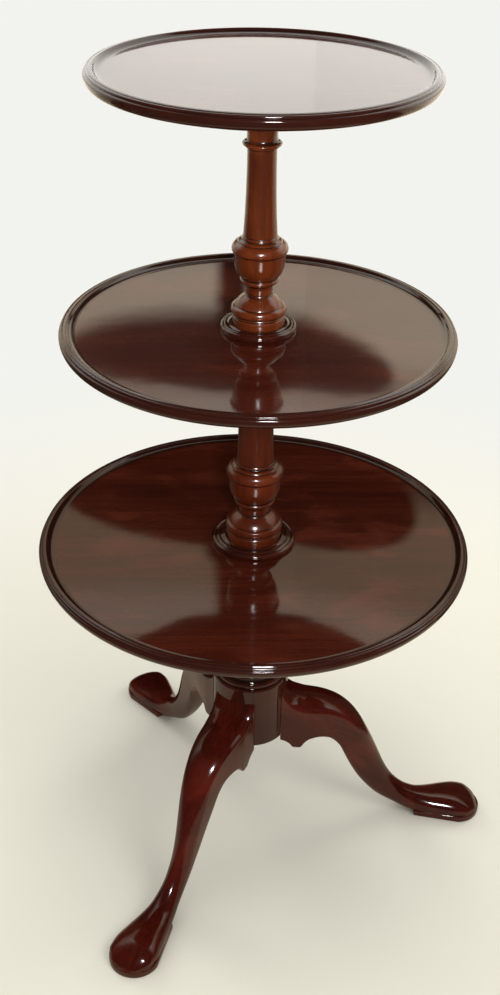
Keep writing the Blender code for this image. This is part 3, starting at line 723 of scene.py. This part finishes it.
def make_plate(finish):
    """Three rounded arms, one under each leg's tongue, and a hollow between each two."""
    outline = []
    end_centre = PLATE_ARM_REACH - PLATE_ARM_HALF_WIDTH
    for turn in LEG_AZIMUTHS.values():
        arm = [(PLATE_CROTCH_RADIUS, -PLATE_ARM_HALF_WIDTH)]
        for index in range(SCREW_SEGMENTS // 2 + 1):
            angle = math.pi * (index / (SCREW_SEGMENTS // 2) - 1 / 2)
            reach = end_centre + PLATE_ARM_HALF_WIDTH * math.cos(angle)
            arm.append((reach, PLATE_ARM_HALF_WIDTH * math.sin(angle)))
        arm.append((PLATE_CROTCH_RADIUS, PLATE_ARM_HALF_WIDTH))
        crotch = math.pi / len(LEG_AZIMUTHS)
        arm.append((PLATE_CROTCH_RADIUS * math.cos(crotch), PLATE_CROTCH_RADIUS * math.sin(crotch)))
        outline += [
            (x * math.cos(turn) - y * math.sin(turn), x * math.sin(turn) + y * math.cos(turn))
            for x, y in arm
        ]
    top = BLOCK_BOTTOM - GLUE_GAP
    made = placed("spider_plate_forging", extruded(outline, top - PLATE_THICKNESS, top))
    round_edges(made, PLATE_ROUNDING, PLATE_ROUNDING_SEGMENTS)
    cut_or_join(made, plate_screw_holes("plate", everywhere=True), "DIFFERENCE")
    dress(made, finish, "stand", "spider_plate")


# Pedestal and legs
def box_outline(start, end, half_width):
    return [(start, -half_width), (end, -half_width), (end, half_width), (start, half_width)]


def tongue_outline(gap):
    """A dovetail across the seat, wider inside; the gap widens it to the socket in the block."""
    inner = SEAT_RADIUS - TONGUE_DEPTH - gap
    outer = SEAT_RADIUS + OVERRUN
    lean = (TONGUE_TIP_HALF_WIDTH - TONGUE_ROOT_HALF_WIDTH) / TONGUE_DEPTH
    inner_half = TONGUE_TIP_HALF_WIDTH + gap
    outer_half = TONGUE_ROOT_HALF_WIDTH + gap - lean * OVERRUN
    return [(inner, -inner_half), (outer, -outer_half), (outer, outer_half), (inner, inner_half)]


def make_pedestal(finish):
    """Block, rings, stem, head and spindle, with a flat and a dovetail socket for each leg."""
    edge = BLOCK_RADIUS * (1 - RING_SHARES[0][0])
    rings = [(BLOCK_RADIUS * out, BLOCK_TOP + up * RING_HEIGHT) for out, up in RING_SHARES]
    to_lose = BLOCK_RADIUS * RING_SHARES[-1][0] - STEM_FOOT_RADIUS
    stem = [
        (STEM_FOOT_RADIUS + left * to_lose, SWEEP_START + up * STEM_SWEEP_HEIGHT)
        for left, up in STEM_SWEEP_SHARES
    ]
    stem.append((STEM_TOP_RADIUS, STEM_END))
    stem += head_outline(PEDESTAL_HEAD_RADIUS, "bottom")
    outline = [
        (0.0, BLOCK_BOTTOM),
        (BLOCK_RADIUS - edge, BLOCK_BOTTOM),
        (BLOCK_RADIUS, BLOCK_BOTTOM + edge),
        (BLOCK_RADIUS, BLOCK_TOP - edge),
    ]
    outline += smooth_line(rings + stem, OUTLINE_STEPS)
    outline += spindle_outline(PEDESTAL_SPINDLE_RADIUS, LOWER_TENON_RADIUS, "bottom")
    made = placed("pedestal_turning", turned(outline, TURNED_SEGMENTS))
    tools = plate_screw_holes("pedestal")
    bottom = BLOCK_BOTTOM - OVERRUN
    flat = box_outline(SEAT_RADIUS, BLOCK_RADIUS + OVERRUN, LEG_HALF_WIDTH + OVERRUN)
    for side, turn in LEG_AZIMUTHS.items():
        tools.append(placed(f"seat_{side}", extruded(flat, bottom, LEG_TOP + GLUE_GAP), AXIS, turn))
        socket_top = BLOCK_BOTTOM + TONGUE_HEIGHT + GLUE_GAP
        socket = extruded(tongue_outline(GLUE_GAP), bottom, socket_top)
        tools.append(placed(f"socket_{side}", socket, AXIS, turn))
    cut_or_join(made, tools, "DIFFERENCE")
    dress(made, finish, "stand", "pedestal")


def leg_ring(station):
    """One section across the leg as (reach, side, height) points: the crown, one side, then the other."""
    crown_out, crown_up, under_out, under_up, half, edge, corner = station
    length = FOOT_REACH - LEG_START
    crown = Vector((LEG_START + crown_out * length, 0.0, crown_up * LEG_TOP))
    under = Vector((LEG_START + under_out * length, 0.0, under_up * LEG_TOP))
    half_width = half * LEG_HALF_WIDTH
    side_top = under.lerp(crown, edge)
    points = []
    for index in range(LEG_CROWN_POINTS + 1):
        angle = math.pi / 2 * index / LEG_CROWN_POINTS
        middle = side_top.lerp(crown, math.cos(angle))
        points.append((half_width * math.sin(angle), middle))
    for index in range(LEG_CORNER_POINTS + 1):
        angle = math.pi / 2 * index / LEG_CORNER_POINTS
        rise = corner * edge * (1 - math.sin(angle))
        inset = corner * half_width * (1 - math.cos(angle))
        points.append((half_width - inset, under.lerp(crown, rise)))
    right = [Vector((at.x, side, at.z)) for side, at in points]
    left = [Vector((at.x, -side, at.z)) for side, at in reversed(points[1:])]
    return right + left


def leg_shape():
    """The leg lofted through smooth stations, closed by a face at the block and one at the toe."""
    shape = bmesh.new()
    rings = []
    for station in smooth_line(LEG_STATION_SHARES, STATION_STEPS):
        rings.append([shape.verts.new(point) for point in leg_ring(station)])
    count = len(rings[0])
    for near, far in zip(rings, rings[1:]):
        for index in range(count):
            after = (index + 1) % count
            shape.faces.new((near[index], near[after], far[after], far[index]))
    shape.faces.new(rings[0])
    shape.faces.new(rings[-1])
    return shape


def slab_outline():
    """The thin platform under the pad: square heel, widening sides and a round toe."""
    centre = FOOT_REACH - SLAB_TOE_RADIUS
    heel = LEG_START + SLAB_HEEL_SHARE * (FOOT_REACH - LEG_START)
    outline = [(heel, SLAB_HEEL_HALF_WIDTH), (heel, -SLAB_HEEL_HALF_WIDTH)]
    for index in range(SLAB_ARC_POINTS + 1):
        angle = math.pi * (index / SLAB_ARC_POINTS - 1 / 2)
        outline.append((centre + SLAB_TOE_RADIUS * math.cos(angle), SLAB_TOE_RADIUS * math.sin(angle)))
    return outline


def make_leg(side, turn, finish):
    made = placed(f"{side}_leg_carving", leg_shape(), AXIS, turn)
    slab = placed(f"slab_{side}", extruded(slab_outline(), 0.0, SLAB_THICKNESS), AXIS, turn)
    round_edges(slab, SLAB_ROUNDING, SLAB_ROUNDING_SEGMENTS)
    settle(slab)
    tongue_shape = extruded(tongue_outline(0.0), BLOCK_BOTTOM, BLOCK_BOTTOM + TONGUE_HEIGHT)
    tongue = placed(f"tongue_{side}", tongue_shape, AXIS, turn)
    cut_or_join(made, [slab, tongue], "UNION")
    cut_or_join(made, plate_screw_holes(side, holder=side), "DIFFERENCE")
    dress(made, finish, "stand", f"leg_{side}")


# Materials
def node(tree, kind, links=(), **settings):
    """A shader node with its settings and inputs; an input is a value or another node's output."""
    made = tree.nodes.new(kind)
    for key, value in settings.items():
        setattr(made, key, value)
    for key, value in dict(links).items():
        if isinstance(value, bpy.types.NodeSocket):
            tree.links.new(value, made.inputs[key])
        else:
            made.inputs[key].default_value = value
    return made


def noise(tree, vector, stretch, scale, detail=3.0, distortion=0.0):
    """A noise that is drawn out along the grain."""
    scaled = node(tree, "ShaderNodeVectorMath", {0: vector, 1: stretch}, operation="MULTIPLY").outputs[0]
    links = {"Vector": scaled, "Scale": scale, "Detail": detail, "Distortion": distortion}
    return node(tree, "ShaderNodeTexNoise", links).outputs["Fac"]


def spread(tree, value, low, high, to_low=0.0, to_high=1.0):
    """A value carried from one range to another and held inside it."""
    links = {"Value": value, "From Min": low, "From Max": high, "To Min": to_low, "To Max": to_high}
    return node(tree, "ShaderNodeMapRange", links, interpolation_type="SMOOTHSTEP").outputs["Result"]


def reckon(tree, operation, first, second):
    return node(tree, "ShaderNodeMath", {0: first, 1: second}, operation=operation).outputs[0]


def added(tree, total, value, share):
    """The total and a share of the value."""
    return reckon(tree, "ADD", total, reckon(tree, "MULTIPLY", value, share))


def bumped(tree, height, strength, depth):
    links = {"Strength": strength, "Distance": depth, "Height": height}
    return node(tree, "ShaderNodeBump", links).outputs["Normal"]


def brightened(colour, times, extra):
    return tuple(times * level + extra for level in colour)


def mixed(tree, factor, first, second, blend="MIX"):
    made = node(tree, "ShaderNodeMix", data_type="RGBA", blend_type=blend)
    for index, value in ((0, factor), (6, first), (7, second)):
        if isinstance(value, bpy.types.NodeSocket):
            tree.links.new(value, made.inputs[index])
        elif index == 0:
            made.inputs[index].default_value = value
        else:
            made.inputs[index].default_value = (*value, 1.0)
    return made.outputs[2]


def fresh_material(name):
    made = bpy.data.materials.new(name)
    made.use_nodes = True
    made.node_tree.nodes.clear()
    return made, made.node_tree


def finish_material(tree, links):
    """One shader with the given inputs on the surface."""
    shader = node(tree, "ShaderNodeBsdfPrincipled", links)
    node(tree, "ShaderNodeOutputMaterial", {"Surface": shader.outputs[0]})


def mahogany(name, dark, light, grain, seed, polish=CLEAR_POLISH, haze=0.0, azimuth=0.0, rim_start=None):
    """French-polished mahogany: ribbon figure, fine streaks, pores, wax and painted shade in the hollows,
    and worn edges.

    The haze is the soft gleam under the clear polish. A rim that starts at a given radius is
    darkened with painted shade.
    """
    made, tree = fresh_material(name)
    place = node(tree, "ShaderNodeTexCoord").outputs["Object"]
    facing = {"Vector": place, "Rotation": (0.0, 0.0, -azimuth)}
    faced = node(tree, "ShaderNodeMapping", facing).outputs["Vector"]
    lying = {"Vector": faced, "Rotation": grain, "Location": seed}
    along = node(tree, "ShaderNodeMapping", lying).outputs["Vector"]
    streak = noise(tree, along, *STREAK_NOISE)
    fibre = noise(tree, along, *FIBRE_NOISE)

    tone = reckon(tree, "MULTIPLY", noise(tree, along, *FIGURE_NOISE), FIGURE_SHARE)
    tone = added(tree, tone, noise(tree, along, *RIBBON_NOISE), RIBBON_SHARE)
    tone = added(tree, tone, streak, STREAK_SHARE)
    tone = added(tree, tone, fibre, FIBRE_SHARE)
    colour = mixed(tree, spread(tree, tone, *TONE_RANGE), dark, light)
    cloud = spread(tree, noise(tree, along, *CLOUD_NOISE), *CLOUD_RANGE)
    cloudy = node(tree, "ShaderNodeCombineColor", {0: cloud, 1: cloud, 2: cloud}).outputs[0]
    colour = mixed(tree, 1.0, colour, cloudy, "MULTIPLY")
    faded = spread(tree, noise(tree, along, *FADING_NOISE), *FADING_RANGE)
    colour = mixed(tree, faded, colour, brightened(light, *FADED))
    pore = spread(tree, noise(tree, along, *PORE_NOISE), *PORE_RANGE)
    in_pores = reckon(tree, "MULTIPLY", pore, PORE_SHARE)
    colour = mixed(tree, in_pores, colour, brightened(dark, *IN_PORES))

    # Painted shade with wax: the hollows are darkened, standing in both for wax and for the shade that
    # falls in them.
    hollow = node(tree, "ShaderNodeAttribute", attribute_name="hollow").outputs["Fac"]
    patchy = spread(tree, noise(tree, place, *PATCH_NOISE), *PATCH_RANGE)
    wax_and_shade = reckon(tree, "MULTIPLY", spread(tree, hollow, *WAX_AND_SHADE_RANGE), patchy)
    colour = mixed(tree, wax_and_shade, colour, WAX_AND_SHADE_COLOUR)
    proud = reckon(tree, "MULTIPLY", hollow, -1.0)
    worn = reckon(tree, "MULTIPLY", spread(tree, proud, *WEAR_RANGE), patchy)
    colour = mixed(tree, worn, colour, brightened(light, *WORN))
    # Painted shade: the rim is darkened from where it starts, blending in over a short width.
    if rim_start is not None:
        flat = {0: place, 1: (1.0, 1.0, 0.0)}
        level = node(tree, "ShaderNodeVectorMath", flat, operation="MULTIPLY").outputs[0]
        reach = node(tree, "ShaderNodeVectorMath", {0: level}, operation="LENGTH").outputs["Value"]
        rim = spread(tree, reach, rim_start - RIM_SHADE_BLEND, rim_start + RIM_SHADE_BLEND)
        colour = mixed(tree, reckon(tree, "MULTIPLY", rim, RIM_SHADE_SHARE), colour, RIM_SHADE_COLOUR)

    relief = added(tree, reckon(tree, "MULTIPLY", fibre, FIBRE_RELIEF), pore, PORE_RELIEF)
    wave = noise(tree, place, *WAVE_NOISE)
    wave = added(tree, wave, noise(tree, place, *SWELL_NOISE), SWELL_RELIEF)
    wave = added(tree, wave, streak, STREAK_RELIEF)
    finish_material(
        tree,
        {
            "Base Color": colour,
            "Roughness": added(tree, spread(tree, tone, *ROUGHNESS_RANGE), wax_and_shade, WAX_ROUGHENING),
            "Specular IOR Level": haze,
            "Normal": bumped(tree, relief, *GRAIN_BUMP),
            "Coat Normal": bumped(tree, wave, *POLISH_BUMP),
            "Coat Weight": 1.0,
            "Coat Roughness": polish,
        },
    )
    return made


def iron(name, colour, rust, roughness, rust_share):
    """Hand-worked iron with a little brown rust."""
    made, tree = fresh_material(name)
    place = node(tree, "ShaderNodeTexCoord").outputs["Object"]
    patches = noise(tree, place, *RUST_NOISE)
    rusty = reckon(tree, "MULTIPLY", spread(tree, patches, *RUST_RANGE), rust_share)
    hollow = node(tree, "ShaderNodeAttribute", attribute_name="hollow").outputs["Fac"]
    rusted = mixed(tree, rusty, colour, rust)
    relief = added(tree, patches, noise(tree, place, *GRIT_NOISE), GRIT_RELIEF)
    finish_material(
        tree,
        {
            "Base Color": mixed(tree, spread(tree, hollow, *GRIME_RANGE), rusted, GRIME_COLOUR),
            "Roughness": added(tree, roughness, rusty, RUST_ROUGHENING),
            "Metallic": added(tree, 1.0, rusty, RUST_METAL_LOSS),
            "Normal": bumped(tree, relief, *IRON_BUMP),
        },
    )
    return made


# Stage
def make_floor():
    """A wide pale floor that turns into the pale background away from the table.

    The polish sees it with painted shade: darker and browner, and darkening away from the table, as the
    room did round the photographer.
    """
    shape = bmesh.new()
    bmesh.ops.create_circle(shape, cap_ends=True, segments=FLOOR_SEGMENTS, radius=FLOOR_RADIUS)
    floor = placed("floor", shape, Vector((0.0, 0.0, 0.0)))
    made, tree = fresh_material("floor_paint")
    place = node(tree, "ShaderNodeTexCoord").outputs["Object"]
    far = node(tree, "ShaderNodeVectorMath", {0: place}, operation="LENGTH").outputs["Value"]
    path = node(tree, "ShaderNodeLightPath")
    mirrored = path.outputs["Is Glossy Ray"]
    # Painted shade: glossy rays see the floor darker and browner, and dimming away from the table.
    painted_dimming = reckon(tree, "MULTIPLY", spread(tree, far, *MIRRORED_FLOOR_SHADE), mirrored)
    colour = mixed(tree, mirrored, FLOOR_COLOUR, MIRRORED_FLOOR_SHADE_COLOUR)
    colour = mixed(tree, painted_dimming, colour, BLACK)
    links = {"Base Color": colour, "Roughness": FLOOR_ROUGHNESS, "Specular IOR Level": FLOOR_SPECULAR_LEVEL}
    paint = node(tree, "ShaderNodeBsdfPrincipled", links)
    glow = node(tree, "ShaderNodeEmission", {"Color": (*PALE, 1.0), "Strength": 1.0})
    share = reckon(tree, "MULTIPLY", spread(tree, far, *FLOOR_FADE), path.outputs["Is Camera Ray"])
    both = node(tree, "ShaderNodeMixShader", {0: share, 1: paint.outputs[0], 2: glow.outputs[0]})
    node(tree, "ShaderNodeOutputMaterial", {"Surface": both.outputs[0]})
    floor.data.materials.append(made)
    return floor


def make_wall_card():
    """A card behind the table, where the photograph has its wall, with shadow painted on it by height; only
    the polish sees it.
    """
    mesh = bpy.data.meshes.new("wall_card")
    places = []
    for height in (0.0, WALL_HEIGHT):
        places += [(x - AXIS_OFFSET, y, height) for x, y in (WALL_LEFT, WALL_FOLD, WALL_RIGHT)]
    mesh.from_pydata(places, [], [(0, 1, 4, 3), (1, 2, 5, 4)])
    card = bpy.data.objects.new("wall_card", mesh)
    bpy.context.scene.collection.objects.link(card)
    made, tree = fresh_material("wall_painted_shadow")
    place = node(tree, "ShaderNodeTexCoord").outputs["Object"]
    height = node(tree, "ShaderNodeSeparateXYZ", {0: place}).outputs["Z"]
    # Painted shadow: the colour by height is darkest low down and dims in a band, where the table's shadow
    # falls on the wall.
    ramp = node(tree, "ShaderNodeValToRGB", {0: reckon(tree, "DIVIDE", height, WALL_HEIGHT)})
    stops = ramp.color_ramp.elements
    stops.remove(stops[1])
    for index, (level, tone) in enumerate(WALL_SHADOW_TONES):
        stop = stops[0] if index == 0 else stops.new(level / WALL_HEIGHT)
        stop.position = level / WALL_HEIGHT
        stop.color = (*tone, 1.0)
    paint = node(tree, "ShaderNodeBsdfDiffuse", {"Color": ramp.outputs["Color"]})
    node(tree, "ShaderNodeOutputMaterial", {"Surface": paint.outputs[0]})
    mesh.materials.append(made)
    card.visible_camera = False
    card.visible_diffuse = False
    card.visible_transmission = False
    card.visible_shadow = False
    return card


def make_lamp(name, place, target, size, power, glossy=False):
    data = bpy.data.lights.new(name, "AREA")
    data.shape = "DISK"
    data.size = size
    data.energy = power
    lamp = bpy.data.objects.new(name, data)
    bpy.context.scene.collection.objects.link(lamp)
    lamp.location = place
    lamp.rotation_euler = (Vector(target) - Vector(place)).to_track_quat("-Z", "Y").to_euler()
    lamp.visible_glossy = glossy
    lamp.visible_camera = False
    return lamp


def link_light(lamp, things, state):
    """INCLUDE: the lamp lights only the things; EXCLUDE: it lights all but them."""
    group = bpy.data.collections.new(f"{lamp.name}_receivers")
    for thing in things:
        group.objects.link(thing)
    for entry in group.collection_objects:
        entry.light_linking.link_state = state
    lamp.light_linking.receiver_collection = group


def make_world():
    """Even soft light, a pale background, and for the polish a room that is dark towards the viewer."""
    world = bpy.data.worlds.new("room")
    bpy.context.scene.world = world
    world.use_nodes = True
    tree = world.node_tree
    tree.nodes.clear()
    direction = node(tree, "ShaderNodeTexCoord").outputs["Generated"]
    parts = node(tree, "ShaderNodeSeparateXYZ", {0: direction})
    behind = spread(tree, parts.outputs["Y"], *ROOM_TURN, ROOM_FRONT_LEVEL, ROOM_BACK_LEVEL)
    path = node(tree, "ShaderNodeLightPath")
    mirrored = reckon(tree, "MAXIMUM", path.outputs["Is Glossy Ray"], path.outputs["Is Transmission Ray"])
    backgrounds = []
    for colour, level in ((SOFT_COLOUR, SOFT_LEVEL), (ROOM_COLOUR, behind), (PALE, 1.0)):
        made = node(tree, "ShaderNodeBackground", {"Color": (*colour, 1.0), "Strength": level})
        backgrounds.append(made.outputs[0])
    soft, room, pale = backgrounds
    lit = node(tree, "ShaderNodeMixShader", {0: mirrored, 1: soft, 2: room})
    links = {0: path.outputs["Is Camera Ray"], 1: lit.outputs[0], 2: pale}
    seen = node(tree, "ShaderNodeMixShader", links)
    node(tree, "ShaderNodeOutputWorld", {"Surface": seen.outputs[0]})


def make_camera():
    forward = CAMERA_FORWARD.normalized()
    up = CAMERA_RIGHT.cross(forward).normalized()
    right = forward.cross(up).normalized()
    data = bpy.data.cameras.new("camera")
    data.sensor_width = SENSOR_WIDTH
    data.lens = FOCAL_PIXELS * SENSOR_WIDTH / IMAGE_HEIGHT
    data.clip_start = CLIP_START
    camera = bpy.data.objects.new("camera", data)
    bpy.context.scene.collection.objects.link(camera)
    turn = Matrix((right, up, -forward)).transposed().to_4x4()
    camera.matrix_world = Matrix.Translation(AXIS + CAMERA_PLACE) @ turn
    bpy.context.scene.camera = camera


def make_pieces():
    plate_iron = iron("plate_iron_worked", *PLATE_IRON)
    screw_iron = iron("screw_iron_worn", *SCREW_IRON)
    bearer_wood = mahogany("bearer_mahogany_fine", *BEARER_WOOD, BEARER_POLISH)
    collar_wood = mahogany("collar_mahogany_fine", *COLLAR_WOOD)
    tier_sizes = {
        "bottom": (BOTTOM_TIER_RADIUS, PEDESTAL_HEAD_RADIUS, PEDESTAL_SPINDLE_RADIUS),
        "middle": (MIDDLE_TIER_RADIUS, LOWER_HEAD_RADIUS, LOWER_SPINDLE_RADIUS),
        "top": (TOP_TIER_RADIUS, UPPER_HEAD_RADIUS, UPPER_SPINDLE_RADIUS),
    }
    for tier, (radius, head_radius, spindle_radius) in tier_sizes.items():
        looks = {"haze": TIER_HAZE, "rim_start": radius - RIM_WIDTH}
        tier_wood = mahogany(f"tier_mahogany_{tier}", *TIER_WOODS[tier], **looks)
        make_tier(tier, radius, spindle_radius, tier_wood)
        make_bearer(tier, head_radius, spindle_radius, bearer_wood)
        for name, place, turn in bearer_screws(tier, head_radius):
            make_screw(name, BEARER_SCREW_LENGTH, place, turn, screw_iron, f"{tier}_turning")
    make_collar("bottom", LOWER_NECK_RADIUS, LOWER_COLLAR_WIDTH, collar_wood)
    make_collar("middle", UPPER_NECK_RADIUS, UPPER_COLLAR_WIDTH, collar_wood)

    make_lower_column(mahogany("lower_column_mahogany", *LOWER_COLUMN_WOOD, COLUMN_POLISH, COLUMN_HAZE))
    make_upper_column(mahogany("upper_column_mahogany", *UPPER_COLUMN_WOOD, COLUMN_POLISH, COLUMN_HAZE))
    make_pedestal(mahogany("pedestal_mahogany_fine", *PEDESTAL_WOOD))
    for side, turn in LEG_AZIMUTHS.items():
        look = (*LEG_COLOURS, GRAIN_DOWN_LEG, LEG_SEEDS[side], LEG_POLISH)
        make_leg(side, turn, mahogany(f"leg_mahogany_{side}", *look, azimuth=turn))
    make_plate(plate_iron)
    for number, _, place, turn in plate_screws():
        make_screw(f"spider_screw_{number}", PLATE_SCREW_LENGTH, place, turn, screw_iron, "stand")


def make_stage():
    floor = make_floor()
    card = make_wall_card()
    make_world()
    flash = make_lamp("wall_flash", *WALL_FLASH)
    link_light(flash, [card], "INCLUDE")
    key = make_lamp("key", *KEY_LAMP, glossy=True)
    link_light(key, [floor, card], "EXCLUDE")
    wash = make_lamp("floor_wash", *FLOOR_WASH)
    link_light(wash, [floor], "INCLUDE")
    for name, look in SOFT_LAMPS.items():
        link_light(make_lamp(name, *look), [card], "EXCLUDE")


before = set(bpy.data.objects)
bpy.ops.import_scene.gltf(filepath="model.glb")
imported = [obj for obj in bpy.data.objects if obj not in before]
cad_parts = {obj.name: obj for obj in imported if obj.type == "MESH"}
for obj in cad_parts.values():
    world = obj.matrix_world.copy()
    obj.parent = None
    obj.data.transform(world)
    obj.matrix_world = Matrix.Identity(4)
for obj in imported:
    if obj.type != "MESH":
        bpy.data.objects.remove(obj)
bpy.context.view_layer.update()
make_pieces()
make_stage()
make_camera()
bpy.context.scene.view_settings.view_transform = "Standard"
